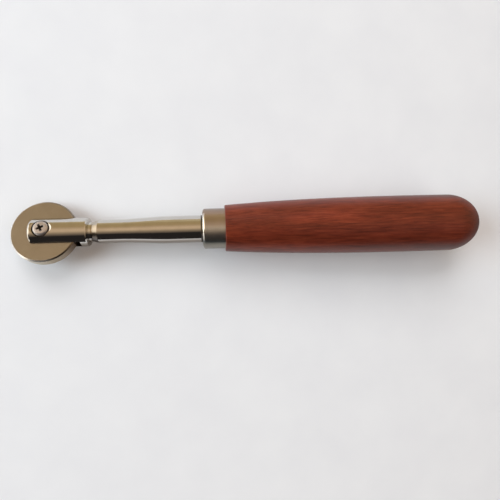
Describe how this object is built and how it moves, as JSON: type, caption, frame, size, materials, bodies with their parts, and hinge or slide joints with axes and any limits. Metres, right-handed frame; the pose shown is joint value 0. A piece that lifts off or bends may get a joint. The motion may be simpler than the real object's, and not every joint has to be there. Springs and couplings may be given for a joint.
{
  "type": "smooth tracing wheel",
  "caption": "Smooth-edged steel tracing wheel that spins in a slotted rod, with a steel ferrule and a domed hardwood handle.",
  "frame": {"origin": "centre of the wheel, on its spin axis", "axes": "+X along the tool towards the handle's butt, +Z along the wheel's spin axis towards the screw's head"},
  "size_m": [0.1839, 0.024, 0.023],
  "materials": {
    "wheel_steel": "polished plate",
    "sleeve_brass": "turned, oiled",
    "washer_steel": "bright",
    "screw_nickel": "bright nickel plate",
    "rod_chrome": "polished plate",
    "ferrule_steel": "fine turned, satin",
    "handle_rosewood": "satin lacquer over reddish rosewood"
  },
  "bodies": {
    "tool_body": {"handle": "handle_rosewood", "ferrule": "ferrule_steel", "fork_rod": "rod_chrome", "pivot_screw": "screw_nickel", "spacer_sleeve": "sleeve_brass", "near_thrust_washer": "washer_steel", "far_thrust_washer": "washer_steel"},
    "wheel": {"pressing_wheel": "wheel_steel"}
  },
  "joints": [
    {"name": "wheel_spin", "type": "hinge", "parent": "tool_body", "child": "wheel", "pos_m": [0, 0, 0], "axis": [0, 0, 1], "continuous": true}
  ]
}
